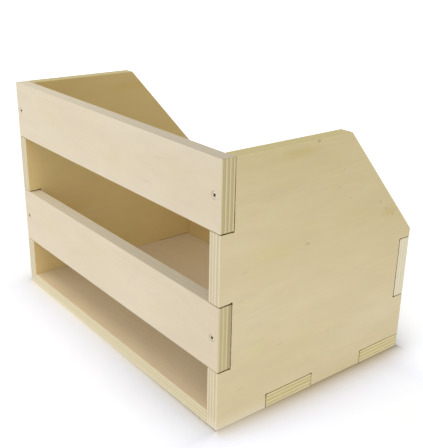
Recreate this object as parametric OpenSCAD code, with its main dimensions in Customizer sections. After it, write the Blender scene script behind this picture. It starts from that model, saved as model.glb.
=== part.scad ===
// Storage stand of seven-ply birch plywood, open at the top.
//
// Two side panels carry a base panel and a low back panel on tabs that pass
// through their edges. Two slats lie in notches across the tall front and are
// held by one countersunk screw at each end.
//
// X runs across the stand, Y from the slatted front to the back and Z up.
// The origin is the middle of the footprint, on the surface it stands on.

/* [Stand] */
// Overall width, across both side panels
stand_w = 360; // [330:1:420]
// Overall depth, from the slats' faces to the back panel's face
stand_d = 237; // [220:1:300]
// Height of the side panels at the slatted front
stand_h = 240; // [230:1:300]
// Thickness of the plywood that every panel and slat is cut from
ply_t = 13.5; // [12:0.5:15]

/* [Side panels] */
// Length of a side panel's level top edge, from the front
top_edge_l = 141; // [120:1:170]
// Height of a side panel's back edge, where its slope ends
back_edge_h = 131; // [125:1:160]

/* [Slats] */
// Height of each slat
slat_h = 60; // [50:1:66]
// Height of the lower slat's underside above the ground
lower_slat_z = 57; // [45:1:66]
// Gap under each slat, where it crosses a side panel
slat_gap_under = 0.6; // [0.2:0.1:1]
// Gap over the lower slat, where it crosses a side panel
slat_gap_over = 0.4; // [0.2:0.1:1.4]

/* [Tabs] */
// Distance from the front to the base panel's front tabs
front_tab_y = 56.5; // [45:0.5:65]
// Length of the base panel's front tabs
front_tab_l = 56.5; // [45:0.5:62]
// Length of the base panel's rear tabs, which end at the back
rear_tab_l = 57; // [45:0.5:65]
// Height of the back panel's side tabs
back_tab_h = 62; // [50:1:68]
// Distance from the back panel's top edge down to its side tabs
back_tab_drop = 9; // [6:0.5:14]
// Width of each finger that the back panel sets into the base panel
finger_w = 58; // [45:1:70]
// Distance between the middles of the two fingers
finger_spacing = 166; // [140:1:190]
// Gap all round a tab or finger in its notch
tab_gap = 0.3; // [0.1:0.05:0.5]
// Radius of the cutter, which leaves a round relief in each inner corner
cutter_r = 1.6; // [1.2:0.1:2.4]

/* [Screws] */
// Distance from a slat's end to the middle of its screw
screw_inset = 8.5; // [6:0.25:9.5]
// Diameter of a screw's head
screw_head_d = 6.2; // [5.4:0.1:7.2]
// Diameter of a screw's shank and thread
screw_d = 3; // [2.6:0.1:4]
// Length of a screw, from its head's face to its tip
screw_l = 35; // [28:1:45]
// Length of a screw's pointed tip
screw_tip_l = 4; // [3:0.5:6]
// Depth of a screw head's face below the slat's face
screw_sink = 0.3; // [0.1:0.1:0.8]
// Height of the straight rim round a screw's head
screw_rim_h = 0.4; // [0.2:0.1:0.8]
// Width across the cross recess in a screw's head, at the face
recess_span = 3.8; // [3:0.1:4.2]
// Width across the cross recess at its bottom
recess_foot_span = 2.1; // [1.4:0.1:2.4]
// Width of each arm of the cross recess
recess_arm_w = 1.1; // [0.6:0.1:1.3]
// Depth of the cross recess
recess_depth = 1.6; // [1:0.1:1.8]
// Gap round a screw where it passes through a slat, and past its tip
screw_gap = 0.1; // [0.05:0.05:0.3]

/* [Hidden] */

front_y = -stand_d / 2;
back_y = stand_d / 2;
side_x = stand_w / 2;
inner_x = side_x - ply_t;
slat_back_y = front_y + ply_t;
back_inner_y = back_y - ply_t;
upper_slat_z = stand_h - slat_h;
back_tab_z = back_edge_h - back_tab_drop - back_tab_h;
rear_tab_y = back_y - rear_tab_l;
front_tab_low_y = front_y + front_tab_y;
front_tab_high_y = front_tab_low_y + front_tab_l;
finger_x = finger_spacing / 2;

// A relief's middle lies this far inside its notch along both edges, so that
// its circle runs through the corner itself.
relief_in = cutter_r / sqrt(2);
screw_x = side_x - screw_inset;
screw_zs = [lower_slat_z + slat_h / 2, upper_slat_z + slat_h / 2];
screw_face_y = front_y + screw_sink;
screw_rim_y = screw_face_y + screw_rim_h;
screw_hole_r = screw_d / 2 + screw_gap;
screw_hole_end_y = screw_face_y + screw_l + screw_gap;
past = 1;
round_fn = 48;

face_birch = [0.89, 0.84, 0.73];
side_birch = [0.81, 0.75, 0.60];
inner_birch = [0.72, 0.64, 0.49];
screw_steel = [0.62, 0.63, 0.65];

// A notch in a panel's outline, from its low corner to its high corner, with a
// round relief in each corner that lies inside the panel. Each of these is
// given as [0 or 1, 0 or 1], where 0 is the low and 1 the high side.
module notch(low, high, inner_corners) {
    translate(low) square(high - low);
    for (corner = inner_corners) {
        x = corner[0] == 0 ? low[0] + relief_in : high[0] - relief_in;
        y = corner[1] == 0 ? low[1] + relief_in : high[1] - relief_in;
        translate([x, y]) circle(r = cutter_r, $fn = round_fn);
    }
}

// A side panel's outline, with Y to the right and Z up.
module side_outline() {
    base_roof_z = ply_t + tab_gap;
    back_tab_top_z = back_tab_z + back_tab_h;
    difference() {
        polygon([
            [front_y, 0], [back_y, 0], [back_y, back_edge_h],
            [front_y + top_edge_l, stand_h], [front_y, stand_h]
        ]);
        // The two slats
        notch([front_y - past, upper_slat_z - slat_gap_under],
              [slat_back_y, stand_h + past], [[1, 0]]);
        notch([front_y - past, lower_slat_z - slat_gap_under],
              [slat_back_y, lower_slat_z + slat_h + slat_gap_over], [[1, 0], [1, 1]]);
        // The base panel's two tabs
        notch([front_tab_low_y - tab_gap, -past],
              [front_tab_high_y + tab_gap, base_roof_z], [[0, 1], [1, 1]]);
        notch([rear_tab_y - tab_gap, -past], [back_y + past, base_roof_z], [[0, 1]]);
        // The back panel's tab
        notch([back_inner_y - tab_gap, back_tab_z - tab_gap],
              [back_y + past, back_tab_top_z + tab_gap], [[0, 0], [0, 1]]);
    }
}

// A side panel that starts at x_low, with a hole at x_screw that each slat's
// screw fills.
module side_panel(x_low, x_screw) {
    hole_y = slat_back_y - past;
    difference() {
        translate([x_low, 0, 0]) rotate([90, 0, 90])
            linear_extrude(ply_t) side_outline();
        for (z = screw_zs)
            translate([x_screw, hole_y, z]) rotate([-90, 0, 0])
                cylinder(r = screw_d / 2, h = screw_hole_end_y - hole_y, $fn = round_fn);
    }
}

module left_side_panel() {
    color(side_birch) side_panel(-side_x, -screw_x);
}

module right_side_panel() {
    color(side_birch) side_panel(inner_x, screw_x);
}

// The base panel's outline from above. What lies beyond the side panels' inner
// faces is cut away, apart from two tabs on each side.
module base_outline() {
    finger_half_w = finger_w / 2 + tab_gap;
    difference() {
        translate([-side_x, front_y]) square([stand_w, stand_d]);
        for (side = [0, 1]) mirror([side, 0]) {
            notch([inner_x, front_y - past], [side_x + past, front_tab_low_y], [[0, 1]]);
            notch([inner_x, front_tab_high_y], [side_x + past, rear_tab_y], [[0, 0], [0, 1]]);
            notch([finger_x - finger_half_w, back_inner_y - tab_gap],
                  [finger_x + finger_half_w, back_y + past], [[0, 0], [1, 0]]);
        }
    }
}

module base_panel() {
    color(inner_birch) linear_extrude(ply_t) base_outline();
}

// The back panel's outline, with X to the right and Z up. It stands on the base
// panel, and only its two fingers reach down through that.
module back_outline() {
    tab_top_z = back_tab_z + back_tab_h;
    finger_in_x = finger_x - finger_w / 2;
    finger_out_x = finger_x + finger_w / 2;
    difference() {
        translate([-side_x, 0]) square([stand_w, back_edge_h]);
        for (side = [0, 1]) mirror([side, 0]) {
            notch([inner_x, tab_top_z], [side_x + past, back_edge_h + past], [[0, 0]]);
            translate([inner_x, -past]) square([ply_t + past, ply_t + past]);
            notch([inner_x, 0], [side_x + past, back_tab_z], [[0, 1]]);
            notch([finger_out_x, -past], [side_x + past, ply_t], [[0, 1]]);
        }
        notch([-finger_in_x, -past], [finger_in_x, ply_t], [[0, 1], [1, 1]]);
    }
}

module back_panel() {
    color(side_birch) translate([0, back_y, 0]) rotate([90, 0, 0])
        linear_extrude(ply_t) back_outline();
}

// A slat whose underside is at z_low, with a countersunk hole at each end.
module slat(z_low) {
    head_r = screw_head_d / 2;
    open_y = front_y - past;
    color(face_birch) difference() {
        translate([-side_x, front_y, z_low]) cube([stand_w, ply_t, slat_h]);
        for (side = [-1, 1])
            translate([side * screw_x, 0, z_low + slat_h / 2]) rotate([-90, 0, 0]) {
                translate([0, 0, open_y])
                    cylinder(r = screw_hole_r, h = ply_t + 2 * past, $fn = round_fn);
                translate([0, 0, open_y])
                    cylinder(r = head_r + screw_gap, h = screw_rim_y - open_y, $fn = round_fn);
                translate([0, 0, screw_rim_y])
                    cylinder(r1 = head_r, r2 = screw_hole_r, h = head_r - screw_hole_r,
                             $fn = round_fn);
            }
    }
}

module upper_slat() {
    slat(upper_slat_z);
}

module lower_slat() {
    slat(lower_slat_z);
}

// The cross recess in a screw's head, which narrows towards its bottom.
module cross_recess() {
    narrowing = (recess_span - recess_foot_span) / 2 / recess_depth;
    intersection() {
        translate([0, 0, -past])
            cylinder(r1 = recess_span / 2 + narrowing * past, r2 = recess_foot_span / 2,
                     h = recess_depth + past, $fn = round_fn);
        for (turn = [0, 90]) rotate([0, 0, turn])
            translate([-recess_span, -recess_arm_w / 2, -past])
                cube([2 * recess_span, recess_arm_w, recess_depth + past]);
    }
}

// A wood screw along Z, with its head's face at 0 and its tip above. Its head
// narrows to the shank at 45 degrees.
module wood_screw() {
    head_r = screw_head_d / 2;
    shank_r = screw_d / 2;
    difference() {
        rotate_extrude($fn = round_fn) polygon([
            [0, 0], [head_r, 0], [head_r, screw_rim_h],
            [shank_r, screw_rim_h + head_r - shank_r],
            [shank_r, screw_l - screw_tip_l], [0, screw_l]
        ]);
        cross_recess();
    }
}

module slat_screws() {
    color(screw_steel) for (side = [-1, 1], z = screw_zs)
        translate([side * screw_x, screw_face_y, z]) rotate([-90, 0, 0]) wood_screw();
}

left_side_panel();
right_side_panel();
base_panel();
back_panel();
upper_slat();
lower_slat();
slat_screws();
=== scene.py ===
"""Eased panels, screws, finishes and stage for a plywood storage stand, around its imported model."""

import math
from functools import reduce
from typing import NamedTuple

import bpy
import numpy as np
from bpy.props import FloatProperty, FloatVectorProperty, IntProperty, PointerProperty
from mathutils import Matrix, Vector
from mathutils.geometry import tessellate_polygon


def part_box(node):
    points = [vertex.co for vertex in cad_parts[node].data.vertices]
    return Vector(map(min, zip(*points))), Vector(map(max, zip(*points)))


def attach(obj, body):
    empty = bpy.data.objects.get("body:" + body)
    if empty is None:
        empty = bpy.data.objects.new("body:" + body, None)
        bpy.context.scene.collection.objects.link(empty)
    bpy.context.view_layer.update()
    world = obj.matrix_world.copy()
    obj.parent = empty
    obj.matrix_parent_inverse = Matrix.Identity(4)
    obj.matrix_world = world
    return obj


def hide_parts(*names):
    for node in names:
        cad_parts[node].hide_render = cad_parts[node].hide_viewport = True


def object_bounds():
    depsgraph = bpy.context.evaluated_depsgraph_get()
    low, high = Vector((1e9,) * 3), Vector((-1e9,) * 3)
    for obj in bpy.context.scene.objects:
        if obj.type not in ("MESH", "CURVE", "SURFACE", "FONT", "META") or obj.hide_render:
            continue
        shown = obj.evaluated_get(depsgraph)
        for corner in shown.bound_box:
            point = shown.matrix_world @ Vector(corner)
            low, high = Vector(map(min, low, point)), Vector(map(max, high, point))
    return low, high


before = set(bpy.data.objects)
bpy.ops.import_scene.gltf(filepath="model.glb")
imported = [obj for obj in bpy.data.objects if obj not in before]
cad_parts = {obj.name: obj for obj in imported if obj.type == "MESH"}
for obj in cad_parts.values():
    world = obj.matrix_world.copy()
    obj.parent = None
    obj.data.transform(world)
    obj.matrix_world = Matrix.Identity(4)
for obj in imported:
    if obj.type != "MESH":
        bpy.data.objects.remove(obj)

bl_info = {
    "name": "Plywood Storage Stand",
    "version": (1, 0, 0),
    "blender": (4, 5, 0),
    "location": "View3D > Sidebar > Storage Stand",
    "description": "Dresses the packed plywood stand and sets its stage",
    "category": "Object",
}

BODY = "root"
X, Y, Z = 0, 1, 2
MM = 0.001
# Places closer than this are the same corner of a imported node.
TOUCH = 1e-5
# Image height, in pixels, and sensor width that the focal length belongs to.
IMAGE_HEIGHT = 448
SENSOR_WIDTH = 36
LOW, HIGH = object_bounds()


def linear(red, green, blue):
    """A scene-linear colour from display values out of 255, by the sRGB curve."""
    display = np.array([red, green, blue]) / 255
    curve = ((display + 0.055) / 1.055) ** 2.4
    return tuple(float(part) for part in np.where(display <= 0.04045, display / 12.92, curve))


# ---------------------------------------------------------------- settings


def distance(name, description, millimetres):
    """A length property, given in millimetres."""
    sizes = {"default": millimetres * MM, "min": 0.01 * MM, "precision": 5}
    return FloatProperty(name=name, description=description, unit="LENGTH", **sizes)


def paint(name, description, red, green, blue):
    """A colour property, given as display values out of 255."""
    values = {"default": linear(red, green, blue), "min": 0, "max": 1}
    return FloatVectorProperty(name=name, description=description, subtype="COLOR", **values)


def turning(name, description, degrees):
    """An angle property, given in degrees."""
    values = {"default": math.radians(degrees), "precision": 4}
    return FloatProperty(name=name, description=description, subtype="ANGLE", **values)


def amount(name, description, default):
    """A plain number property that is never negative."""
    return FloatProperty(name=name, description=description, default=default, min=0, precision=3)


class StandShape(bpy.types.PropertyGroup):
    """Small sizes that ease the panels and shape the screws."""

    arris: distance("Arris", "Radius of the sanded edge round each face", 0.5)
    corner: distance("Corner", "Radius of each outer corner of an outline", 0.9)
    cutter: distance("Cutter", "Radius of the relief in each inner corner of an outline", 1.6)
    mouth: distance("Mouth", "How deep a notch's wider mouth reaches from a panel's face", 4)
    rim_height: distance("Rim height", "Height of the straight rim round a screw's head", 0.4)
    rim_gap: distance("Rim gap", "Gap between a screw's rim and its countersink", 0.1)
    shank_radius: distance("Shank radius", "Radius of a screw's shank and thread", 1.5)
    core_radius: distance("Core radius", "Radius of a screw between its thread's turns", 1.0)
    pitch: distance("Pitch", "Distance between two turns of a screw's thread", 1.5)
    tip_length: distance("Tip length", "Length of a screw's pointed tip", 4)
    recess_span: distance("Recess span", "Width across the cross recess, at the face", 3.8)
    recess_foot: distance("Recess foot", "Width across the cross recess, at its bottom", 2.1)
    recess_arm: distance("Recess arm", "Width of each arm of the cross recess", 1.1)
    recess_depth: distance("Recess depth", "Depth of the cross recess", 1.6)


class StandFinish(bpy.types.PropertyGroup):
    """Colours of the plywood and the screws."""

    slat_veneer: paint("Slat veneer", "Face veneer of the two slats", 231, 217, 191)
    slat_end: paint("Slat ends", "Edges of the slats that cut across the grain", 233, 218, 169)
    slat_edge: paint("Slat edges", "Edges of the slats that follow the grain", 213, 200, 174)
    side_veneer: paint("Side veneer", "Face veneer of the side and back panels", 222, 207, 168)
    side_end: paint("Side ends", "Side panels' edges that cut across the grain", 230, 217, 185)
    side_edge: paint("Side edges", "Side panels' edges that follow the grain", 199, 184, 127)
    # Painted shade: the base veneer is darker than the others, for the shade that falls inside the
    # stand.
    base_veneer: paint("Base veneer", "Face veneer of the base panel", 201, 182, 150)
    base_end: paint("Base ends", "Ends of the base panel's tabs", 238, 224, 172)
    base_edge: paint("Base edges", "Edges of the base panel that follow the grain", 230, 218, 182)
    back_end: paint("Back ends", "Ends of the back panel's tabs", 240, 230, 201)
    back_edge: paint("Back edges", "Edges of the back panel that follow the grain", 214, 200, 158)
    cross_ply: paint("Cross plies", "Tint of the plies that lie across the veneer", 226, 221, 212)
    glue: paint("Glue lines", "Tint of the thin lines between plies", 196, 188, 170)
    # Painted shade: the inner faces are darker and more ochre, for the shade and warm bounce light
    # inside the stand.
    inner: paint("Inner faces", "Tint of the faces that look into the stand", 240, 230, 200)
    # Painted shade: the side panels get darker and yellower towards their top and slope, where less
    # light falls.
    top_shade: paint("Top tone", "Tint of the side panels towards their top and slope", 252, 250, 237)
    # Dirt and painted shade: wood in and just beside a joint is darker, for the dirt there and the shade
    # in its gap.
    joint: paint("Joints", "Tint of the wood that lies hidden in a joint", 150, 118, 70)
    knot: paint("Knots", "Small knots and streaks in the veneer", 120, 98, 62)
    stain: paint("Stains", "Tint of the brownish patches", 246, 240, 216)
    tinge: paint("Tinge", "Tint of the broad, faintly yellow patches", 250, 251, 230)
    # Painted light: the foot and lowest arris of the base and the sides are paler where light catches
    # them.
    foot_light: paint("Pale foot", "Paler wood at the foot of the base and of the sides", 250, 242, 222)
    zinc: paint("Zinc", "Plated steel of the screws", 228, 216, 194)
    # Grease and painted shade: the bottom of a screw's recess is dark.
    recess_grease_and_shade: paint("Recess", "Dark bottom of a screw's recess", 54, 45, 36)
    plies: IntProperty(name="Plies", description="Number of plies in a panel", default=7, min=3)


class StandStage(bpy.types.PropertyGroup):
    """Camera, lamps and floor."""

    azimuth: turning("Azimuth", "Turn of the camera round the stand, from straight in front", 51.753)
    elevation: turning("Elevation", "Angle at which the camera looks down", 21.58)
    roll: turning("Roll", "Turn of the camera about its line of sight", 0.9745)
    camera_place: FloatVectorProperty(
        name="Camera place",
        description="Where the camera stands",
        default=(0.5780, -0.4410, 0.3919),
        subtype="TRANSLATION",
    )
    focal_pixels: amount("Focal length", "Focal length in pixels of the image", 730.03)
    floor_radius: distance("Floor radius", "Radius of the round floor", 12000)
    key: amount("Key lamp", "Strength of the soft lamp in front", 1.24)
    fill: amount("Fill lamp", "Strength of the wide lamp on the right", 0.90)
    sky: amount("Sky", "Strength of the even light from all round", 0.50)
    floor_look: amount("Floor look", "How bright the floor looks, as a share of its light", 1.25)
    # Painted shade on the floor by the stand, and how far it reaches.
    front_shade: amount("Front shade", "How much darker the floor looks by the front and back", 0.40)
    front_reach: distance("Front reach", "Distance over which that shade fades", 34)
    side_shade: amount("Side shade", "How much darker the floor looks by the sides", 0.60)
    side_reach: distance("Side reach", "Distance over which that shade fades", 15)
    # A painted shadow line on the floor along the stand's foot.
    front_foot_shadow: amount("Front crease", "How much darker its foot line is in front, at the right", 0.26)
    side_foot_shadow: amount("Side crease", "How much darker its foot line is beside the sides", 0.07)
    foot_shadow_reach: distance("Crease reach", "Distance over which the foot line fades", 1.4)
    # Painted warm bounce light on the floor beside the stand.
    warm: paint("Warm tint", "Tint of the floor's look right beside the stand", 255, 231, 180)
    warm_front_reach: distance("Warm front reach", "How far that tint reaches in front", 4)
    warm_side_reach: distance("Warm side reach", "How far that tint reaches beside the sides", 12)
    cool: FloatVectorProperty(
        name="Cool",
        description="What evens out the warm light that the plywood throws on the floor",
        default=(0.93, 0.97, 1.12),
        min=0,
        max=2,
    )


# ------------------------------------------------------ reading the frame


def corner_points(node):
    """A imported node's corners, as an array with one row a corner."""
    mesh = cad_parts[node].data
    flat = np.empty(len(mesh.vertices) * 3, np.float32)
    mesh.vertices.foreach_get("co", flat)
    return flat.reshape(-1, 3).astype(float)


def marks(node, along, plane, level):
    """Where a node has corners on the plane that crosses one axis at a level.

    Gives their places along another axis, each once, in rising order.
    """
    points = corner_points(node)
    on_plane = np.abs(points[:, plane] - level) < TOUCH
    return np.unique(np.round(points[on_plane, along], 6))


def thickness():
    """The plywood's thickness, which is the lower slat's depth."""
    low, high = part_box("lower_slat")
    return high.y - low.y


def notch_depth():
    """How deep a notch for a tab is: the plywood's thickness and the gap over the tab."""
    return marks("right_side_panel", Z, Y, HIGH.y)[0] - LOW.z


def side_corners():
    """The corners of a side panel's outline in Y and Z, against the clock."""
    node, front, back, top = "right_side_panel", LOW.y, HIGH.y, HIGH.z
    roof = notch_depth()
    slat_back, level_end = marks(node, Y, Z, top)[[0, -1]]
    low_sill, low_lintel, high_sill = marks(node, Z, Y, front)[1:4]
    tab_front, tab_back, rear_tab = marks(node, Y, Z, LOW.z)[1:4]
    back_sill, back_lintel, slope_foot = marks(node, Z, Y, back)[1:4]
    return [
        (front, 0), (tab_front, 0), (tab_front, roof), (tab_back, roof), (tab_back, 0),
        (rear_tab, 0), (rear_tab, roof), (back, roof), (back, back_sill),
        (back - roof, back_sill), (back - roof, back_lintel), (back, back_lintel),
        (back, slope_foot), (level_end, top), (slat_back, top),
        (slat_back, high_sill), (front, high_sill), (front, low_lintel),
        (slat_back, low_lintel), (slat_back, low_sill), (front, low_sill),
    ]


# Which corners of a side panel's outline belong to the same notch: those of
# the base's front tab, its rear tab, the back's tab, the upper and lower slat.
NOTCHES = [slice(1, 5), slice(5, 8), slice(8, 12), slice(14, 17), slice(17, 21)]

# How much further back and up a notch's corners lie at the panel's faces than
# inside it, in millimetres, by their place in the outline.
GAPES = {
    1: (-0.3, 0), 2: (-0.35, 0.1), 3: (-0.27, 0.1), 4: (-0.27, 0), 5: (-0.1, 0), 6: (-0.1, 0),
    9: (-0.4, 0), 10: (-0.4, 0.1),
    14: (0.3, 0), 15: (0.75, -0.1), 17: (0, 0.2), 18: (0.5, 0.7), 19: (0.75, -0.1),
}


def side_mouth():
    """The corners of a side panel's outline at its faces."""
    corners = np.array(side_corners())
    for place, gape in GAPES.items():
        corners[place] += np.array(gape) * MM
    return corners


# How far a joint's dirt and painted shade reach past its notch, how far they
# stay below the stand's outer faces, and how softly they start. In a slat's
# joint they start some way behind the front, and nearer to it close to the
# stand's side.
JOINT_SPREAD = 1.0 * MM
JOINT_SKIN = 0.12 * MM
JOINT_SOFT = 0.15 * MM
JOINT_FRONT = 3.4 * MM
JOINT_SIDE = 1.8 * MM
JOINT_SIDE_WIDTH = 2.2 * MM


def joints():
    """The boxes in which wood lies hidden in a joint, on the stand's right half.

    They are the side panel's notches, with two boxes for each slat's, and a
    finger's notch in the base panel. Each is a lowest and a highest corner.
    """
    inner, foot = HIGH.x - thickness(), thickness()
    corners = np.array(side_corners())
    boxes = []
    for notch in NOTCHES:
        (front, low), high = corners[notch].min(0), corners[notch].max(0)
        if front > LOW.y + TOUCH:
            boxes.append(((inner, front, low), (HIGH.x, *high)))
            continue
        for start, shelter in ((inner, JOINT_FRONT), (HIGH.x - JOINT_SIDE_WIDTH, JOINT_SIDE)):
            boxes.append(((start, front + shelter, low), (HIGH.x, *high)))
    finger_in, finger_out = marks("base_panel", X, Y, HIGH.y)[-3:-1]
    below = foot - JOINT_SPREAD - JOINT_SKIN
    boxes.append(((finger_in, HIGH.y - notch_depth(), 0), (finger_out, HIGH.y, below)))
    return np.array(boxes)


def mirrored(half):
    """The right half of a symmetric outline, joined to its mirror image."""
    return half + [(-across, up) for across, up in reversed(half)]


def base_corners():
    """The corners of the base panel's outline in X and Y, against the clock."""
    node, side, back = "base_panel", HIGH.x, HIGH.y
    inner = side - thickness()
    notch = back - notch_depth()
    tab_front, tab_back, rear_tab = marks(node, Y, X, side)[:3]
    finger_in, finger_out = marks(node, X, Y, back)[-3:-1]
    return mirrored([
        (inner, LOW.y), (inner, tab_front), (side, tab_front), (side, tab_back),
        (inner, tab_back), (inner, rear_tab), (side, rear_tab), (side, back),
        (finger_out, back), (finger_out, notch), (finger_in, notch), (finger_in, back),
    ])


def back_corners():
    """The corners of the back panel's outline in X and Z, against the clock."""
    node, side, foot = "back_panel", HIGH.x, thickness()
    inner = side - foot
    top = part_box(node)[1].z
    tab_low, tab_high = marks(node, Z, X, side)
    finger_in, finger_out = marks(node, X, Z, LOW.z)[-2:]
    return mirrored([
        (finger_in, foot), (finger_in, 0), (finger_out, 0), (finger_out, foot),
        (inner, foot), (inner, tab_low), (side, tab_low), (side, tab_high),
        (inner, tab_high), (inner, top),
    ])


def slat_corners(node):
    """The corners of a slat's outline in X and Z, against the clock."""
    low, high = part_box(node)
    return mirrored([(high.x, low.z), (high.x, high.z)])


def screw_boxes():
    """The lowest and highest corner of each screw, by its name."""
    points = corner_points("slat_screws")
    on_right, _, on_top = (points > (points.min(0) + points.max(0)) / 2).T
    boxes = {}
    for level, at_level in (("upper", on_top), ("lower", ~on_top)):
        for side, at_side in (("left", ~on_right), ("right", on_right)):
            own = points[at_level & at_side]
            boxes[f"{level}_{side}_screw"] = own.min(0), own.max(0)
    return boxes


# ----------------------------------------------------------- numpy surfaces

# Points on each corner's arc, steps round each arris and points round each hole.
CORNER_STEPS = 9
ARRIS_STEPS = 4
HOLE_STEPS = 48
# Faces that meet at less than this angle are shaded as one smooth surface.
CRISP = math.radians(40)
# The flat cell beside each rounding, which keeps shading from spreading over a flat.
GUARD = 0.6 * MM


def unit(vectors):
    """The same directions, each one long."""
    return vectors / np.linalg.norm(vectors, axis=-1, keepdims=True)


def cut_outline(corners):
    """An outline with its outer corners eased and its inner corners relieved.

    An outer corner becomes an arc that touches both edges. An inner corner
    becomes the half circle of the cutter's radius that runs through the corner
    and ends on both edges. Each corner also gets a point on either side of it.
    All corners are worked out together, as one array.
    """
    shape = bpy.context.scene.stand_shape
    points = np.array(corners, float)
    to_last = unit(np.roll(points, 1, 0) - points)
    to_next = unit(np.roll(points, -1, 0) - points)
    turn = to_next[:, 0] * to_last[:, 1] - to_next[:, 1] * to_last[:, 0]
    half_angle = np.arccos(np.clip((to_last * to_next).sum(1), -1, 1))[:, None] / 2
    share = np.linspace(0, 1, CORNER_STEPS)[None, :, None]

    # The easing arc's middle is on the corner's bisector, and its points turn
    # evenly from the foot on one edge to the foot on the other.
    reach = shape.corner / np.tan(half_angle)
    inward = unit(to_last + to_next) * shape.corner / np.sin(half_angle)
    start = (to_last * reach - inward)[:, None]
    end = (to_next * reach - inward)[:, None]
    sweep = (math.pi - 2 * half_angle)[:, None]
    arc = (np.sin((1 - share) * sweep) * start + np.sin(share * sweep) * end) / np.sin(sweep)
    eased = (points + inward)[:, None] + arc

    # The relief's middle is on the bisector too, one radius from the corner.
    beside = (to_last - to_next)[:, None] / math.sqrt(2)
    outward = (to_last + to_next)[:, None] / math.sqrt(2)
    swing = np.cos(share * math.pi) * beside - np.sin(share * math.pi) * outward
    relieved = points[:, None] + shape.cutter * (outward + swing)

    is_outer = (turn > 0)[:, None, None]
    rounded = np.where(is_outer, eased, relieved)
    before = rounded[:, :1] + GUARD * to_last[:, None]
    after = rounded[:, -1:] + GUARD * to_next[:, None]
    return np.concatenate([before, rounded, after], 1).reshape(-1, 2)


def mitres(outline):
    """For each point of an outline, the shift that moves both its edges out by one."""
    along = unit(np.roll(outline, -1, 0) - outline)
    normal = np.stack([along[:, 1], -along[:, 0]], 1)
    last = np.roll(normal, 1, 0)
    return (normal + last) / (1 + (normal * last).sum(1, keepdims=True))


def arris_profile(depth):
    """How far a panel's wall is set in, at each level from one face to the other.

    A quarter circle rounds each arris, and a straight wall joins the two. The
    third list is how much of a notch's mouth each level shows: all of it at the
    faces, and evenly less down to none.
    """
    shape = bpy.context.scene.stand_shape
    arris, mouth = shape.arris, shape.mouth
    angle = np.linspace(0, math.pi / 2, ARRIS_STEPS + 1)
    inset = np.append(arris * (1 - np.sin(angle)), [0, 0])
    level = np.append(arris * (1 - np.cos(angle)), [arris + GUARD, mouth])
    share = 1 - level / mouth
    return (
        np.append(inset, inset[::-1]),
        np.append(level, (depth - level)[::-1]),
        np.append(share, share[::-1]),
    )


class Surface:
    """Grids of points and the faces between them, which make one closed piece."""

    def __init__(self):
        self.points = []
        self.faces = []
        self.rims = []
        self.count = 0

    def add(self, grid, rim=False):
        """Adds a grid of points, each on a flat face's rim or not, and numbers them."""
        numbers = self.count + np.arange(grid[..., 0].size).reshape(grid.shape[:-1])
        self.points.append(grid.reshape(-1, 3))
        self.rims.append(np.broadcast_to(rim, numbers.shape).ravel())
        self.count += numbers.size
        return numbers

    def cover(self, numbers, flip=False):
        """Covers a grid of numbered points with quads, one for each cell."""
        cells = [numbers[:-1, :-1], numbers[:-1, 1:], numbers[1:, 1:], numbers[1:, :-1]]
        quads = np.stack(cells, -1).reshape(-1, 4)
        self.faces += (quads[:, ::-1] if flip else quads).tolist()

    def wrap(self, numbers, flip=False):
        """Covers a grid whose rows are closed rings."""
        self.cover(np.concatenate([numbers, numbers[:, :1]], 1), flip)

    def cap(self, loops, numbers, flip=False):
        """Fills a flat face inside its outer loop and round any loops that are holes.

        The triangles run against the clock, or with it where the face is flipped.
        """
        flat = np.concatenate(loops)
        number = np.concatenate(numbers)
        # In millimetres, because the filler takes points that are very close for one.
        lines = [[Vector((across, up, 0)) for across, up in loop / MM] for loop in loops]
        picked = np.array(tessellate_polygon(lines))
        one, two, three = flat[picked[:, 0]], flat[picked[:, 1]], flat[picked[:, 2]]
        ahead, aside = two - one, three - one
        area = ahead[:, 0] * aside[:, 1] - ahead[:, 1] * aside[:, 0]
        turned = (area < 0) != flip
        picked[turned] = picked[turned][:, ::-1]
        self.faces += number[picked].tolist()

    def fan(self, ring, pole, flip=False):
        """Closes a ring with triangles that meet at a pole."""
        triangles = np.stack([ring, np.roll(ring, -1), np.full(ring.size, pole)], 1)
        self.faces += (triangles[:, ::-1] if flip else triangles).tolist()

    def piece(self, name):
        """Makes the mesh object. Its flat faces' rims and its sharp turns are crisp."""
        mesh = bpy.data.meshes.new(name)
        mesh.from_pydata(np.concatenate(self.points).tolist(), [], self.faces)
        mesh.polygons.foreach_set("use_smooth", np.ones(len(mesh.polygons), bool))
        mesh.set_sharp_from_angle(angle=CRISP)
        crisp = np.empty(len(mesh.edges), bool)
        ends = np.empty(len(mesh.edges) * 2, np.int32)
        mesh.edges.foreach_get("use_edge_sharp", crisp)
        mesh.edges.foreach_get("vertices", ends)
        on_rim = np.concatenate(self.rims)[ends.reshape(-1, 2)].all(1)
        mesh.edges.foreach_set("use_edge_sharp", crisp | on_rim)
        mesh.update()
        piece = bpy.data.objects.new(name, mesh)
        bpy.context.scene.collection.objects.link(piece)
        return piece


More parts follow.
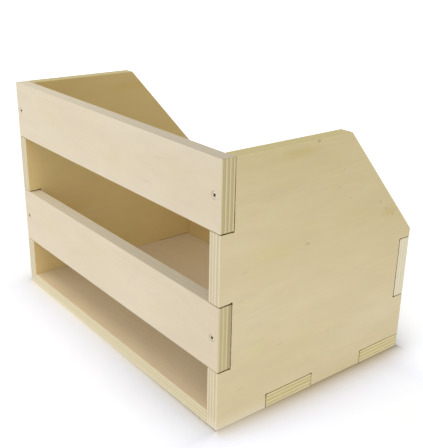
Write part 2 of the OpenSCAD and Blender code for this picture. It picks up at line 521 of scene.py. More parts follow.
def panel(name, corners, axis, low, high, holes=(), mouth=None):
    """A panel: its cut outline, carried along the arris profile from face to face.

    Each ring is the outline, moved towards the mouth's by the profile's share
    and in by its inset at that level. A hole is a middle, with radii and the
    levels they stand at, carried round a circle. The outline's plane lies across
    the axis. Both faces are filled between the outermost rings and the holes'
    circles.
    """
    surface = Surface()
    flip = axis == Y
    loops, numbers = [], []

    def raised(flat, levels):
        """Each flat ring of points, put at its level along the axis."""
        depth = np.broadcast_to((low + levels)[:, None], flat.shape[:2])
        return np.insert(flat, axis, depth, axis=2)

    outline = cut_outline(corners)
    opened = outline if mouth is None else cut_outline(mouth)
    insets, levels, shares = arris_profile(high - low)
    rings = outline + shares[:, None, None] * (opened - outline)
    rings = rings - insets[:, None, None] * mitres(outline)
    is_end = np.isin(np.arange(len(levels)), [0, len(levels) - 1])[:, None]
    walls = surface.add(raised(rings, levels), is_end)
    surface.wrap(walls, flip)
    loops.append(rings)
    numbers.append(walls)

    turn = np.linspace(0, 2 * math.pi, HOLE_STEPS, endpoint=False)
    circle = np.stack([np.cos(turn), np.sin(turn)], 1)
    for middle, radii, depths in holes:
        rings = np.array(middle) + radii[:, None, None] * circle
        bore = surface.add(raised(rings, depths))
        surface.wrap(bore, not flip)
        loops.append(rings)
        numbers.append(bore)

    for end, turned in ((0, not flip), (-1, flip)):
        surface.cap([loop[end] for loop in loops], [number[end] for number in numbers], turned)
    return surface.piece(name)


# Grid lines along each part of a recess's arm and over the head's rim, and rings
# in each turn of the thread.
RECESS_LINES = 3
RIM_LINES = 4
THREAD_STEPS = 8
# The bevel round a screw's head.
HEAD_ARRIS = 0.15 * MM
# How much wider than its flat bottom the recess is at the face, as its walls slant.
RECESS_FLARE = 1.2


def head_face(radius, turn):
    """A screw head's face, as a grid of places across it and its depth at each.

    A square grid becomes a disc: each of a place's two distances shrinks by the
    square root of one less half the other's square. Wherever one of the two arms
    lies, the depth grows from none at the span to all of it at the foot. The
    grid has its lines along the arms' edges, and is turned as a whole.
    """
    shape = bpy.context.scene.stand_shape
    arm, foot, span = shape.recess_arm / 2, shape.recess_foot / 2, shape.recess_span / 2
    half = np.concatenate([
        [0, arm / 2, arm],
        np.linspace(RECESS_FLARE * arm, foot, RECESS_LINES),
        np.linspace(foot, span, RECESS_LINES)[1:],
        np.linspace(span, radius, RIM_LINES)[1:],
    ])
    line = np.concatenate([-half[:0:-1], half]) / radius
    across, up = np.meshgrid(line, line)
    disc_across = radius * across * np.sqrt(1 - up ** 2 / 2)
    disc_up = radius * up * np.sqrt(1 - across ** 2 / 2)
    in_arm = np.minimum(np.abs(across), np.abs(up)) * radius < arm + TOUCH
    away = np.hypot(disc_across, disc_up)
    depth = shape.recess_depth * np.clip((span - away) / (span - foot), 0, 1) * in_arm
    turned_across = disc_across * math.cos(turn) - disc_up * math.sin(turn)
    turned_up = disc_across * math.sin(turn) + disc_up * math.cos(turn)
    return turned_across, turned_up, depth


def edge_loop(numbers):
    """The outer edge of a square grid, against the clock."""
    sides = [numbers[0, :-1], numbers[:-1, -1], numbers[-1, :0:-1], numbers[:0:-1, 0]]
    return np.concatenate(sides)


def shank(angle, length, head_radius):
    """Radius and depth of a screw below its face, on rings of the given angles.

    The head's rim narrows to the shank along a 45 degree cone. Then the radius
    rises and falls with the distance along the axis, less the share of a turn,
    so the thread's crest winds round. It fades in below the head and out into
    the tip, where the radius falls in proportion to what is left.
    """
    shape = bpy.context.scene.stand_shape
    cone_end = shape.rim_height + head_radius - shape.shank_radius
    head_radii = [head_radius, head_radius, shape.shank_radius]
    head_depths = [HEAD_ARRIS, shape.rim_height, cone_end]
    thread_start = cone_end + shape.pitch
    steps = int((length - thread_start) / shape.pitch * THREAD_STEPS)
    depth = np.linspace(thread_start, length, steps, endpoint=False)[:, None]
    turns = depth / shape.pitch - angle / (2 * math.pi)
    tooth = np.clip(2 - 4 * np.abs(turns % 1 - 0.5), 0, 1)
    fade = np.clip((depth - thread_start) / shape.pitch, 0, 1)
    height = shape.shank_radius - shape.core_radius
    threaded = shape.core_radius + height * (1 - fade + fade * tooth)
    left = np.clip((length - depth) / shape.tip_length, 0, 1)
    radii = np.concatenate([np.tile(np.array(head_radii)[:, None], angle.size), threaded * left])
    depths = np.concatenate([np.array(head_depths)[:, None], depth])
    return radii, np.broadcast_to(depths, radii.shape)


def screw(name, low, high, turn):
    """A countersunk screw along Y: its head's face, and rings down to its tip."""
    surface = Surface()
    middle_x, middle_z = (low[X] + high[X]) / 2, (low[Z] + high[Z]) / 2
    radius = (high[X] - low[X]) / 2
    face_y, length = low[Y], high[Y] - low[Y]
    across, up, depth = head_face(radius - HEAD_ARRIS, turn)
    face = surface.add(np.stack([middle_x + across, face_y + depth, middle_z + up], -1))
    surface.cover(face)
    angle = np.arctan2(edge_loop(up), edge_loop(across))
    radii, depths = shank(angle, length, radius)
    x = middle_x + radii * np.cos(angle)
    z = middle_z + radii * np.sin(angle)
    rings = surface.add(np.stack([x, face_y + depths, z], -1))
    pole = surface.add(np.array([[middle_x, face_y + length, middle_z]]))
    surface.wrap(np.concatenate([edge_loop(face)[None], rings]), flip=True)
    surface.fan(rings[-1], pole[0], flip=True)
    return surface.piece(name)


def countersink(box):
    """A slat's hole for the screw in a box: its middle, its radii and their levels."""
    shape = bpy.context.scene.stand_shape
    low, high = box
    middle = (low[X] + high[X]) / 2, (low[Z] + high[Z]) / 2
    head_radius = (high[X] - low[X]) / 2
    bore_radius = shape.shank_radius + shape.rim_gap
    mouth_radius = head_radius + shape.rim_gap
    seat = low[Y] - LOW.y + shape.rim_height
    radii = [mouth_radius + HEAD_ARRIS, mouth_radius, mouth_radius, bore_radius, bore_radius]
    levels = [0, HEAD_ARRIS, seat, seat + mouth_radius - bore_radius, thickness()]
    return middle, np.array(radii), np.array(levels)


# ---------------------------------------------------------------- finishes

# How strongly a finish's height bumps its surface.
BUMP_STRENGTH = 0.3


def opaque(colour):
    """A colour property's value with full opacity."""
    return (*colour, 1)


def varied(colour, red, green, blue):
    """A colour with each part scaled a little."""
    return (colour[0] * red, colour[1] * green, colour[2] * blue, 1)


class Value:
    """A socket's number. Arithmetic on it adds Math nodes."""

    def __init__(self, finish, socket):
        self.finish = finish
        self.socket = socket

    def __add__(self, other):
        return self.finish.math("ADD", self, other)

    def __sub__(self, other):
        return self.finish.math("SUBTRACT", self, other)

    def __rsub__(self, other):
        return self.finish.math("SUBTRACT", other, self)

    def __mul__(self, other):
        return self.finish.math("MULTIPLY", self, other)

    def __truediv__(self, other):
        return self.finish.math("DIVIDE", self, other)

    def __abs__(self):
        return self.finish.math("ABSOLUTE", self)

    __radd__ = __add__
    __rmul__ = __mul__


class Finish:
    """The node tree of a material or a world, which one method builds, node by node."""

    def __init__(self, owner):
        owner.use_nodes = True
        self.owner = owner
        self.tree = owner.node_tree
        self.tree.nodes.clear()

    def node(self, kind, settings=None, inputs=None, output=0):
        """Adds a node: its settings first, then its sockets' values or links."""
        made = self.tree.nodes.new(f"ShaderNode{kind}")
        for name, setting in (settings or {}).items():
            setattr(made, name, setting)
        for name, value in (inputs or {}).items():
            if isinstance(value, Value):
                self.tree.links.new(value.socket, made.inputs[name])
            else:
                made.inputs[name].default_value = value
        return Value(self, made.outputs[output]) if made.outputs else None

    def math(self, operation, *values):
        """A Math node on numbers."""
        return self.node("Math", {"operation": operation}, dict(enumerate(values)))

    def vector(self, operation, *values, output=0):
        """A Vector Math node."""
        return self.node("VectorMath", {"operation": operation}, dict(enumerate(values)), output)

    def most(self, *values):
        """The largest of some numbers."""
        return reduce(lambda one, other: self.math("MAXIMUM", one, other), values)

    def split(self, vector):
        """A vector's three numbers."""
        part = self.node("SeparateXYZ", inputs={0: vector})
        return [Value(self, socket) for socket in part.socket.node.outputs]

    def join(self, x, y, z):
        """A vector from three numbers."""
        return self.node("CombineXYZ", inputs={0: x, 1: y, 2: z})

    def rise(self, value, low, high):
        """Goes from 0 to 1 as a number goes from one level to another, eased at both ends."""
        inputs = {"Value": value, "From Min": low, "From Max": high}
        return self.node("MapRange", {"interpolation_type": "SMOOTHSTEP"}, inputs)

    def fall(self, value, low, high):
        """Goes from 1 to 0 in the same way."""
        return 1 - self.rise(value, low, high)

    def grain(self, place, stretch, detail=2, roughness=0.5, distortion=0):
        """Noise, with a number of cells in each metre along each direction."""
        inputs = {
            "Vector": self.vector("MULTIPLY", place, stretch), "Scale": 1, "Detail": detail,
            "Roughness": roughness, "Distortion": distortion,
        }
        return self.node("TexNoise", inputs=inputs, output="Fac")

    def blend(self, share, first, second, mode="MIX"):
        """Goes from one colour to another by a share."""
        settings = {"data_type": "RGBA", "blend_type": mode}
        return self.node("Mix", settings, {0: share, 6: first, 7: second}, output=2)

    def tinted(self, share, colour, tint):
        """Goes from a colour to that colour times a tint, by a share."""
        return self.blend(share, colour, opaque(tint), "MULTIPLY")

    def shade(self, colour, brightness):
        """A colour times a number."""
        return self.blend(1, colour, self.join(brightness, brightness, brightness), "MULTIPLY")

    def seen(self):
        """1 for rays from the camera and for reflected and refracted ones, else 0."""
        path = self.node("LightPath").socket.node.outputs
        kinds = ("Camera", "Glossy", "Transmission")
        return self.most(*(Value(self, path[f"Is {kind} Ray"]) for kind in kinds))

    def end(self, shader, kind="OutputMaterial"):
        """Ends the tree with a shader. Gives the finished material or world."""
        self.node(kind, inputs={"Surface": shader})
        return self.owner

    def end_bumped(self, height, reach, sockets):
        """Ends the tree with a Principled shader, whose surface a height bumps."""
        inputs = {"Strength": BUMP_STRENGTH, "Distance": reach, "Height": height}
        normal = self.node("Bump", inputs=inputs)
        return self.end(self.node("BsdfPrincipled", inputs={**sockets, "Normal": normal}))


class Board(NamedTuple):
    """What sets the wood of one board apart from that of the others."""

    kind: str
    # The axis that its grain follows.
    grain: int
    # Where in the noise it lies, in metres, so that no two boards look alike.
    seed: float
    # Which way its inner face looks along its thickness axis.
    inward: int
    # How clearly its plies show on its edges.
    lines: float
    # How much painted shade darkens its edges from left to right.
    painted_right_shade: float = 0
    # How brown its last plies are at its ends.
    tail: float = 0


BOARDS = {
    "left_side_panel": Board("side", Y, 4.7, 1, 0.8),
    "right_side_panel": Board("side", Y, 1.3, -1, 0.8),
    "base_panel": Board("base", X, 2.9, 1, 1.0, painted_right_shade=0.08),
    "back_panel": Board("back", X, 7.1, -1, 0.4),
    "upper_slat": Board("slat", X, 5.9, 1, 1.2, painted_right_shade=0.28),
    "lower_slat": Board("slat", X, 8.3, 1, 0.9, painted_right_shade=0.28, tail=0.38),
}

# Flaws in each board's veneer: small knots and streaks, brownish stains, and
# broad, faintly yellow tinges. Each flaw has its place along the grain and
# across it, its half length and half width, all in millimetres, and its
# strength. A board's first knot is its main one.
KNOTS = {
    "right_side_panel": [
        (-22.8, 149.4, 4.2, 1.3, 0.34), (68.8, 168.2, 3, 2, 0.2), (77.7, 159.8, 2, 1.4, 0.3),
        (88.3, 152.1, 3, 1.6, 0.22), (-17.4, 238.6, 2.5, 1.6, 0.45), (16, 208.8, 1, 1, 0.25),
        (12, 192.8, 5, 1.2, 0.1), (27.5, 180.2, 4, 0.8, 0.14), (-92.6, 140.9, 5, 1.5, 0.08),
        (-49.4, 60.7, 6, 2, 0.08), (-93.3, 32.1, 5, 2, 0.08), (10.8, 54.2, 5, 1.5, 0.08),
        (-96.6, 116.6, 5, 2, 0.06),
    ],
    "left_side_panel": [(31, 96, 4, 1.3, 0.6), (-64, 171, 3, 1.5, 0.2), (12, 60, 6, 2, 0.08)],
    "upper_slat": [(78, 196, 7, 2, 0.07), (96, 221, 5, 2, 0.06), (-96, 212, 6, 2, 0.05)],
    "lower_slat": [(118, 96, 2.2, 1.8, 0.07), (-40, 74, 7, 2, 0.05)],
    "base_panel": [(64, -30, 6, 1.6, 0.3), (-97, 41, 4, 1.2, 0.25)],
    "back_panel": [(-52, 88, 5, 1.5, 0.5), (71, 47, 3, 1.2, 0.3)],
}
STAINS = {
    "right_side_panel": [(-38, 232, 34, 7, 0.8), (84, 156, 17, 9, 0.75)],
    "left_side_panel": [(20, 224, 40, 8, 0.7), (-60, 90, 30, 9, 0.5)],
}
TINGES = {
    "right_side_panel": [
        (-60, 151, 46, 14, 0.6), (-76, 64, 29, 12, 0.45), (-22, 57, 44, 13, 0.45),
        (35, 160, 38, 18, 0.3),
    ],
    "left_side_panel": [(34, 140, 46, 14, 0.5), (-40, 60, 36, 12, 0.4)],
    "upper_slat": [(-92, 214, 30, 13, 0.35), (30, 203, 34, 14, 0.3), (112, 219, 26, 11, 0.3)],
    "lower_slat": [(-118, 92, 27, 14, 0.35), (-30, 99, 34, 12, 0.3), (88, 80, 31, 12, 0.3)],
}

# How much longer and wider than a main knot the stretch of grain is that it
# pushes aside, and by how much of its distance from the knot the grain moves.
SWELL_LENGTH = 4
SWELL_WIDTH = 7
SWELL_SHARE = 0.5

# How far behind the front the painted light inside the stand reaches.
PAINTED_LIGHT_INSIDE = 22 * MM
# The two places between which the painted light at the foot fades out: up
# from the base's foot, up from a side's lowest edge, and along a side's foot
# from the front.
BASE_FOOT = (1.5 * MM, 5 * MM)
SIDE_SILL = (0.6 * MM, 1.8 * MM)
SIDE_FRONT = (-75 * MM, 10 * MM)
# How far the darker, pressed wood round a screw reaches.
BRUISE = 0.8 * MM


class Plywood(Finish):
    """Birch plywood, on a board that lies across its thickness axis.

    Its faces show a veneer, and its edges show plies. Which of the two a point
    shows follows how squarely its surface faces the thickness axis.
    """

    def __init__(self, name, thick):
        super().__init__(bpy.data.materials.new(f"{name}_birch_plywood"))
        self.name = name
        self.board = BOARDS[name]
        self.look = bpy.context.scene.stand_finish
        low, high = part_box(name)
        self.low, self.middle = low[thick], (low[thick] + high[thick]) / 2
        grain, seed = self.board.grain, self.board.seed
        self.place = self.split(self.node("TexCoord", output="Object"))
        normal = self.split(self.node("NewGeometry", output="Normal"))
        self.along, self.through = self.place[grain], self.place[thick]
        self.across = self.place[X + Y + Z - thick - grain]
        self.board_place = self.join(self.along + seed, self.across + seed, self.through)
        self.squareness = abs(normal[thick])
        self.facing = self.rise(self.squareness, 0.6, 0.9)
        self.ending = self.rise(abs(normal[grain]), 0.3, 0.8)
        self.rightward = self.rise(self.place[X], LOW.x, HIGH.x)

    def nearest(self, ellipses, inner, ragged):
        """How deep a place lies in the deepest of some ellipses, times its strength.

        In each, the share is 1 out to a fraction of the ellipse's radius, and
        falls to 0 at its edge. The edge is moved by a ragged number.
        """
        shares = []
        for middle_along, middle_across, half_length, half_width, strength in ellipses:
            beside = (self.along - middle_along * MM) / (half_length * MM)
            above = (self.across - middle_across * MM) / (half_width * MM)
            away = self.math("SQRT", beside * beside + above * above) + ragged
            shares.append(self.fall(away, inner, 1) * strength)
        return self.most(*shares)

    def veneer(self):
        """A face's colour, fibres and pores, as those of a rotary-cut veneer.

        Slow blotches, streaks, fibres and pores are noises drawn out along the
        grain, and the figure is the sine of a slower one. The main knot pushes
        the grain aside.
        """
        knot_along, knot_across, half_length, half_width, _ = KNOTS[self.name][0]
        swell = (knot_along, knot_across, SWELL_LENGTH * half_length, SWELL_WIDTH * half_width)
        push = (self.across - knot_across * MM) * self.nearest([(*swell, SWELL_SHARE)], 0, 0)
        seed = self.board.seed
        place = self.join(self.along + seed, self.across + seed - push, self.through)
        blotch = self.grain(place, (8, 22, 2))
        streaks = self.grain(place, (24, 90, 6), detail=3, roughness=0.6, distortion=0.4)
        contour = self.grain(place, (1.7, 11, 1), detail=1.5, distortion=0.3)
        figure = self.math("SINE", contour * 150) * 0.5 + 0.5
        fibre = self.grain(place, (28, 1300, 300), detail=3, roughness=0.6)
        pore = self.rise(self.grain(place, (240, 4200, 900), detail=1), 0.66, 0.8)
        kind = "side" if self.board.kind == "back" else self.board.kind
        plain = getattr(self.look, f"{kind}_veneer")
        yellowish = varied(plain, 0.985, 0.97, 0.93)
        pinkish = varied(plain, 1.0, 0.98, 0.985)
        face = self.blend(self.rise(blotch, 0.35, 0.65) * 0.85, opaque(plain), yellowish)
        face = self.blend(self.rise(streaks, 0.45, 0.7) * 0.7, face, pinkish)
        dimming = figure * 0.014 + (fibre - 0.3) * 0.035 + pore * 0.03
        dimming = dimming + (streaks - 0.5) * 0.1 + (blotch - 0.5) * 0.05
        return self.shade(face, 1.015 - dimming), fibre, pore

    def painted_inside_light(self, face):
        """Tints the faces that look into the stand with painted shade and warm bounce light, and paints
        light on them by the front.
        """
        kind = self.board.kind
        inner = self.rise((self.through - self.middle) * self.board.inward, 0, MM)
        if kind != "base":
            face = self.tinted(inner, face, self.look.inner)
        if kind in ("base", "side"):
            ahead = self.fall(self.place[Y], LOW.y, LOW.y + PAINTED_LIGHT_INSIDE)
            # Painted light: the inside is lighter by the front, where light comes in.
            painted_front_light = 0.34 - self.rightward * 0.2 if kind == "base" else 0.14
            face = self.shade(face, 1 + inner * ahead * painted_front_light)
        return face

    def flawed(self, face):
        """Adds the board's stains, tinges and knots to a face, with ragged edges."""
        ragged = (self.grain(self.board_place, (700, 700, 700)) - 0.5) * 0.7
        for flaws, tint_of_flaw in ((STAINS, self.look.stain), (TINGES, self.look.tinge)):
            if self.name in flaws:
                flaw = self.nearest(flaws[self.name], 0, ragged * 0.5)
                face = self.tinted(flaw, face, tint_of_flaw)
        knot = self.nearest(KNOTS[self.name], 0.25, ragged)
        return self.blend(knot, face, opaque(self.look.knot))

    def painted_outside_shade(self, face):
        """Paints shade on a side's face towards its top and slope, and on a slat's to the right."""
        if self.board.kind == "side":
            up = self.rise(self.place[Z] + self.place[Y] * 0.4, 0.3 * HIGH.z, 0.94 * HIGH.z)
            face = self.tinted(up, face, self.look.top_shade)
            face = self.shade(face, 1.05 - up * 0.115)
        if self.board.kind == "slat":
            # Painted shade: a slat's face is darker towards the right, away from the light.
            face = self.shade(face, 1.01 - self.rise(self.place[X], -0.2 * HIGH.x, HIGH.x) * 0.05)
        return face

    def plies(self):
        """An edge's colour, streaks and glue lines.

        The distance through the board, in plies and a little uneven, gives each
        point its ply. Every second ply lies across the face veneer and is darker,
        and a thin glue line of its own strength runs between two plies.
        """
        look, board, place, ending = self.look, self.board, self.board_place, self.ending
        wobble = self.grain(place, (9, 9, 40)) - 0.5
        uneven = self.grain(place, (0.8, 0.8, 330), detail=0) - 0.5
        depth = (self.through - self.low) * (look.plies / thickness())
        depth = depth + wobble * 0.3 + uneven * 0.8
        depth = self.math("MINIMUM", self.most(depth, 0.02), look.plies - 0.02)
        is_cross = self.math("MODULO", self.math("FLOOR", depth), 2)
        line = self.math("ROUND", depth)
        weight = self.node("TexWhiteNoise", {"noise_dimensions": "1D"}, {"W": line + board.seed})
        glue = self.fall(abs(depth - line), 0.02, 0.12)
        broken = self.rise(self.grain(place, (45, 45, 400)), 0.3, 0.55)
        streak = self.grain(place, (70, 70, 5200), roughness=0.6)
        fleck = self.rise(self.grain(place, (180, 180, 5200), detail=1), 0.62, 0.74)
        tone = self.grain(place, (14, 14, 700), detail=1) - 0.5

        along, end = (getattr(look, f"{board.kind}_{part}") for part in ("edge", "end"))
        edge = self.blend(ending, opaque(along), opaque(end))
        clear = (0.45 + ending * 0.55) * board.lines
        edge = self.tinted(is_cross * clear * 0.75, edge, look.cross_ply)
        line_share = glue * (0.25 + weight * 0.75) * (0.35 + broken * 0.65) * clear
        edge = self.tinted(line_share, edge, look.glue)
        # The rounded arris is a little paler: partly the paler veneer at the edge, partly a painted
        # highlight.
        arris = self.rise(self.squareness, 0.1, 0.45)
        dimming = (streak - 0.3) * 0.1 + fleck * 0.06 - tone * 0.08 - arris * 0.06
        edge = self.shade(edge, 1.02 - dimming)
        last = self.rise(depth, look.plies - 2.2, look.plies - 0.7)
        edge = self.blend(last * ending * board.tail, edge, opaque(look.knot))
        # Painted shade: the edges darken from left to right.
        return self.shade(edge, 1 + (0.5 - self.rightward) * board.painted_right_shade), streak, glue

    def painted_foot_light(self, colour):
        """Paints light on the foot of the base, less to the right, and on the sides' front part."""
        height, foot_light = self.place[Z], opaque(self.look.foot_light)
        if self.board.kind == "base":
            foot = self.fall(height, *BASE_FOOT) * (1 - self.rightward * 0.6)
            colour = self.blend(foot * 0.35, colour, foot_light)
        if self.board.kind == "side":
            ahead = self.fall(self.place[Y], *SIDE_FRONT)
            for low, high, strength in ((0, thickness(), 0.4), (*SIDE_SILL, 0.7)):
                foot = self.fall(height, low, high) * ahead
                colour = self.blend(foot * strength, colour, foot_light)
        return colour

    def in_joint(self):
        """1 where a place lies in one of the joints that the board has a part in, else 0.

        For each joint's box, the place's distance from the box's middle, less half
        its size, is below 0 along every axis inside the box. The boxes are a little
        wider than the joints, but stop short of the stand's outer faces.
        """
        points = corner_points(self.name)
        points[:, X] = np.abs(points[:, X])
        own_low, own_high = points.min(0), points.max(0)
        spread = np.array([-JOINT_SKIN, JOINT_SPREAD, JOINT_SPREAD])
        x, y, z = self.place
        folded = self.join(abs(x), y, z)
        shares = []
        for low, high in joints():
            if (low > own_high - TOUCH).any() or (high < own_low + TOUCH).any():
                continue
            low = np.maximum(low - spread, [0, LOW.y, LOW.z + JOINT_SKIN])
            high = np.minimum(high + np.abs(spread), np.array(HIGH) - JOINT_SKIN)
            middle, half = (low + high) / 2, (high - low) / 2
            offset = self.vector("ABSOLUTE", self.vector("SUBTRACT", folded, tuple(middle)))
            past = self.split(self.vector("SUBTRACT", offset, tuple(half)))
            shares.append(self.fall(self.most(*past), -JOINT_SOFT, 0))
        return self.most(*shares)

    def material(self, holes):
        """Joins faces and edges, and adds bruises round holes and dirt and painted shade in joints."""
        face, fibre, pore = self.veneer()
        face = self.painted_outside_shade(self.flawed(self.painted_inside_light(face)))
        edge, streak, glue = self.plies()
        colour = self.painted_foot_light(self.blend(self.facing, edge, face))
        for spot, radii, _ in holes:
            offset = self.join(self.along - spot[0], self.across - spot[1], 0)
            away = self.vector("LENGTH", offset, output=1)
            bruise = self.fall(away, radii[0], radii[0] + BRUISE)
            colour = self.shade(colour, 1 - bruise * 0.08)
        # Painted shade and dirt: the joints are darker, a little unevenly.
        dirt_and_shade = self.rise(self.grain(self.board_place, (110, 110, 110)), 0.3, 0.6)
        colour = self.tinted(self.in_joint() * (0.55 + dirt_and_shade * 0.45), colour, self.look.joint)
        height = self.blend(self.facing, streak * 0.8 + glue * -0.3, fibre * 0.6 - pore * 0.5)
        return self.end_bumped(height, 0.1 * MM, {
            "Base Color": colour,
            "Roughness": 0.56 + (fibre - 0.5) * 0.12 - self.facing * 0.06,
            "Specular IOR Level": 0.4,
        })


def screw_steel(face_y):
    """Zinc-plated steel, dull and faintly mottled, with grease and painted shade darkening the recess.
    """
    look = bpy.context.scene.stand_finish
    finish = Finish(bpy.data.materials.new("zinc_plated_steel"))
    place = finish.node("TexCoord", output="Object")
    mottle = finish.grain(place, (900, 900, 900), detail=3, roughness=0.6)
    scratch = finish.grain(place, (6000, 1500, 800))
    # Painted shade with grease: deeper in the recess the steel is darker and less metallic.
    in_recess = finish.rise(finish.split(place)[Y] - face_y, 0.02 * MM, 0.25 * MM)
    colour = finish.shade(opaque(look.zinc), 1.05 - mottle * 0.25)
    return finish.end_bumped(scratch + mottle, 0.03 * MM, {
        "Base Color": finish.blend(in_recess, colour, opaque(look.recess_grease_and_shade)),
        "Metallic": 1 - in_recess * 0.8,
        "Roughness": 0.28 + mottle * 0.2 + in_recess * 0.3,
    })


# Between which two distances from the stand the floor stops looking cooler.
COOL_REACH = (20 * MM, 110 * MM)


def white_floor(stage):
    """A white floor with painted shade and painted warm bounce light by the stand.

    Its painted shade, a painted shadow line right at the foot and its painted
    warm bounce light are shares that fall off exponentially with the distance
    from the footprint. They are least at the footprint's corners and grow
    towards the right and the back. What is seen of the floor has this look.
    The light that it throws back is plain. A cooler white by the stand evens
    out the warm light that the stand throws.
    """
    finish = Finish(bpy.data.materials.new("white_floor"))
    place = finish.node("TexCoord", output="Object")
    mottle = finish.grain(place, (40, 40, 40))
    x, y, _ = finish.split(place)
    past_x = finish.most(abs(x) - HIGH.x, 0)
    past_y = finish.most(abs(y) - HIGH.y, 0)
    away = finish.math("SQRT", past_x * past_x + past_y * past_y) + TOUCH
    beside = past_x / away
    corner = past_x * past_y / (away * away)
    behind = finish.rise(y, 0.7 * HIGH.y, 1.1 * HIGH.y)

    def between(front, side):
        """Goes from one number in front to another beside the sides."""
        return beside * side + (1 - beside) * front

    def fading(front_reach, side_reach):
        """Falls from 1 at the stand to about a third at the reach, and faster behind."""
        reach = between(front_reach, side_reach)
        return finish.math("EXPONENT", away * (-1 - behind * 0.75) / reach)

    # The painted shade and its painted shadow line at the foot
    front_share = 0.62 + finish.rise(x, -0.5 * HIGH.x, 0.9 * HIGH.x) * 0.38
    side_share = 0.63 + finish.rise(y, -1.5 * HIGH.y, 0.2 * HIGH.y) * 0.37
    side_share = side_share * (1 + behind * 0.25)
    shade = between(front_share * stage.front_shade, side_share * stage.side_shade)
    shade = shade * fading(stage.front_reach, stage.side_reach) * (1 - corner * 0.6)
    rightmost = finish.rise(x, -0.6 * HIGH.x, HIGH.x)
    rearward = finish.rise(y, -0.9 * HIGH.y, 0.2 * HIGH.y)
    crease = between(rightmost * stage.front_foot_shadow, rearward * stage.side_foot_shadow)
    shade = shade + fading(stage.foot_shadow_reach, stage.foot_shadow_reach) * crease

    # The painted warm bounce light, and the cooler white under it
    painted_bounce = fading(stage.warm_front_reach, stage.warm_side_reach)
    painted_bounce = painted_bounce * between(0.4, side_share * finish.rise(x, -HIGH.x, HIGH.x))
    painted_bounce = painted_bounce * (1 - corner * 0.6) * (1 - behind * 0.6)
    near = finish.fall(away, *COOL_REACH)
    near = near * between(0.45, 0.2 + finish.rise(x, 0, HIGH.x) * 0.8) * (1 - behind * 0.5)
    look = finish.blend(near, (1, 1, 1, 1), opaque(stage.cool))
    look = finish.tinted(painted_bounce, look, stage.warm)

    # Painted light: the floor looks a little brighter behind the stand.
    shown_part = (1 - shade) * (1 + behind * 0.09)
    look = finish.shade(look, shown_part * stage.floor_look * (1.01 - mottle * 0.02))
    shown = finish.node("BsdfDiffuse", inputs={"Color": look})
    plain = finish.node("BsdfDiffuse", inputs={"Color": (0.8, 0.8, 0.8, 1)})
    return finish.end(finish.node("MixShader", inputs={0: finish.seen(), 1: plain, 2: shown}))


# --------------------------------------------------------------- operators


def settle(piece, node, material):
    """Gives a piece its material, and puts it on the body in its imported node's place."""
    piece.data.materials.append(material)
    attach(piece, BODY)
    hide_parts(node)


def lay_board(name, node, corners, axis, holes=(), mouth=None):
    """Makes a board of plywood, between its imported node's two faces across an axis."""
    low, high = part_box(node)
    piece = panel(name, corners, axis, low[axis], high[axis], holes, mouth)
    settle(piece, node, Plywood(node, axis).material(holes))


class BuildSides(bpy.types.Operator):
    """Makes the two side panels"""

    bl_idname = "storage_stand.sides"
    bl_label = "Side Panels"

    def execute(self, context):
        for side in ("left", "right"):
            name, node = f"{side}_side_plywood", f"{side}_side_panel"
            lay_board(name, node, side_corners(), X, mouth=side_mouth())
        return {"FINISHED"}


class BuildBase(bpy.types.Operator):
    """Makes the base panel"""

    bl_idname = "storage_stand.base"
    bl_label = "Base Panel"

    def execute(self, context):
        lay_board("base_plywood", "base_panel", base_corners(), Z)
        return {"FINISHED"}


class BuildBack(bpy.types.Operator):
    """Makes the low back panel"""

    bl_idname = "storage_stand.back"
    bl_label = "Back Panel"

    def execute(self, context):
        lay_board("back_plywood", "back_panel", back_corners(), Y)
        return {"FINISHED"}


class BuildSlats(bpy.types.Operator):
    """Makes the two slats, each with a countersunk hole at either end"""

    bl_idname = "storage_stand.slats"
    bl_label = "Slats"

    def execute(self, context):
        boxes = screw_boxes()
        for level in ("upper", "lower"):
            name, node = f"{level}_slat_plywood", f"{level}_slat"
            holes = [countersink(boxes[f"{level}_{side}_screw"]) for side in ("left", "right")]
            lay_board(name, node, slat_corners(node), Y, holes)
        return {"FINISHED"}


# How far each screw's recess is turned, in degrees.
RECESS_TURNS = {
    "upper_left_screw": 15,
    "upper_right_screw": 38,
    "lower_left_screw": 62,
    "lower_right_screw": 28,
}


class BuildScrews(bpy.types.Operator):
    """Makes the four countersunk screws"""

    bl_idname = "storage_stand.screws"
    bl_label = "Screws"

    def execute(self, context):
        boxes = screw_boxes()
        steel = screw_steel(min(low[Y] for low, high in boxes.values()))
        for name, (low, high) in boxes.items():
            piece = screw(name, low, high, math.radians(RECESS_TURNS[name]))
            settle(piece, "slat_screws", steel)
        return {"FINISHED"}


# Where the lamps shine from, and how wide each looks from the stand.
KEY_SIDE = (-0.20, -1.0, 1.2)
FILL_SIDE = (1.0, -0.25, 0.3)
LAMP_WIDTH = math.radians(90)
# Steps round the floor, and rings from its middle to its edge.
FLOOR_STEPS = 64
FLOOR_RINGS = 12


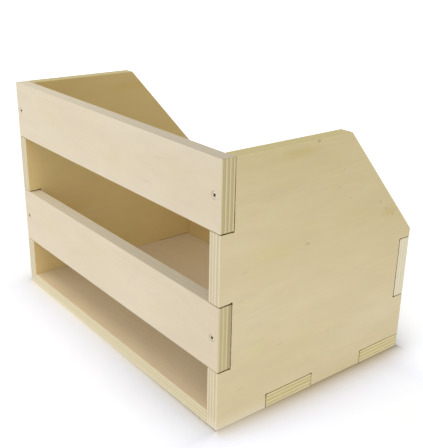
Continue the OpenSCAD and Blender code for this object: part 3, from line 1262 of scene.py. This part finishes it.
class SetStage(bpy.types.Operator):
    """Sets the camera, the lamps, the sky and the floor"""

    bl_idname = "storage_stand.stage"
    bl_label = "Stage"

    def execute(self, context):
        stage = context.scene.stand_stage
        context.scene.view_settings.view_transform = "Standard"
        self.place_camera(context, stage)
        self.place_lamp(context, "key_lamp", stage.key, KEY_SIDE)
        self.place_lamp(context, "fill_lamp", stage.fill, FILL_SIDE)
        self.set_sky(context, stage)
        self.lay_floor(stage)
        return {"FINISHED"}

    def place_camera(self, context, stage):
        """A camera at a place, turned by its azimuth, elevation and roll in that order."""
        data = bpy.data.cameras.new("camera")
        data.sensor_width = SENSOR_WIDTH
        data.lens = stage.focal_pixels * SENSOR_WIDTH / IMAGE_HEIGHT
        camera = bpy.data.objects.new("camera", data)
        context.scene.collection.objects.link(camera)
        tilt = math.pi / 2 - stage.elevation
        turned = Matrix.Rotation(stage.azimuth, 4, "Z") @ Matrix.Rotation(tilt, 4, "X")
        rolled = turned @ Matrix.Rotation(stage.roll, 4, "Z")
        camera.matrix_world = Matrix.Translation(stage.camera_place) @ rolled
        context.scene.camera = camera

    def place_lamp(self, context, name, strength, side):
        """A wide, far lamp that shines from one side, with soft shadows."""
        data = bpy.data.lights.new(name, "SUN")
        data.energy = strength
        data.angle = LAMP_WIDTH
        lamp = bpy.data.objects.new(name, data)
        lamp.rotation_euler = Vector(side).to_track_quat("Z", "Y").to_euler()
        context.scene.collection.objects.link(lamp)

    def set_sky(self, context, stage):
        """A white sky to look at, which lights the stand more softly than it looks."""
        finish = Finish(bpy.data.worlds.new("World"))
        soft, plain = [
            finish.node("Background", inputs={"Color": (1, 1, 1, 1), "Strength": strength})
            for strength in (stage.sky, 1)
        ]
        sky = finish.node("MixShader", inputs={0: finish.seen(), 1: soft, 2: plain})
        context.scene.world = finish.end(sky, "OutputWorld")

    def lay_floor(self, stage):
        """A round white floor: rings of growing radius about the origin, joined by quads."""
        turn = np.linspace(0, 2 * math.pi, FLOOR_STEPS, endpoint=False)
        radii = np.linspace(0.05, 1, FLOOR_RINGS)[:, None] ** 2 * stage.floor_radius
        x, y = radii * np.cos(turn), radii * np.sin(turn)
        floor = Surface()
        rings = floor.add(np.stack([x, y, np.zeros_like(x)], -1))
        floor.fan(rings[0], floor.add(np.zeros((1, 3)))[0])
        floor.wrap(rings, flip=True)
        piece = floor.piece("floor")
        piece.data.materials.append(white_floor(stage))


class StandPanel(bpy.types.Panel):
    """Lists the stand's settings and the steps that build it"""

    bl_idname = "VIEW3D_PT_storage_stand"
    bl_label = "Storage Stand"
    bl_space_type = "VIEW_3D"
    bl_region_type = "UI"
    bl_category = "Storage Stand"

    def draw(self, context):
        for step in STEPS:
            self.layout.operator(step.bl_idname)
        for group in GROUPS:
            box = self.layout.box()
            settings = getattr(context.scene, group)
            for name in settings.bl_rna.properties.keys():
                if name not in ("rna_type", "name"):
                    box.prop(settings, name)


STEPS = (SetStage, BuildSides, BuildBase, BuildBack, BuildSlats, BuildScrews)
GROUPS = {
    "stand_shape": StandShape,
    "stand_finish": StandFinish,
    "stand_stage": StandStage,
}


def register():
    """Registers the settings, the steps and the sidebar's panel."""
    for name, group in GROUPS.items():
        bpy.utils.register_class(group)
        setattr(bpy.types.Scene, name, PointerProperty(type=group))
    for step in STEPS:
        bpy.utils.register_class(step)
    bpy.utils.register_class(StandPanel)


def unregister():
    """Takes away what register added, in the opposite order."""
    bpy.utils.unregister_class(StandPanel)
    for step in reversed(STEPS):
        bpy.utils.unregister_class(step)
    for name, group in reversed(GROUPS.items()):
        delattr(bpy.types.Scene, name)
        bpy.utils.unregister_class(group)


def main():
    """Registers the add-on and runs each step."""
    register()
    bpy.ops.storage_stand.stage()
    bpy.ops.storage_stand.sides()
    bpy.ops.storage_stand.base()
    bpy.ops.storage_stand.back()
    bpy.ops.storage_stand.slats()
    bpy.ops.storage_stand.screws()


if __name__ == "__main__":
    main()
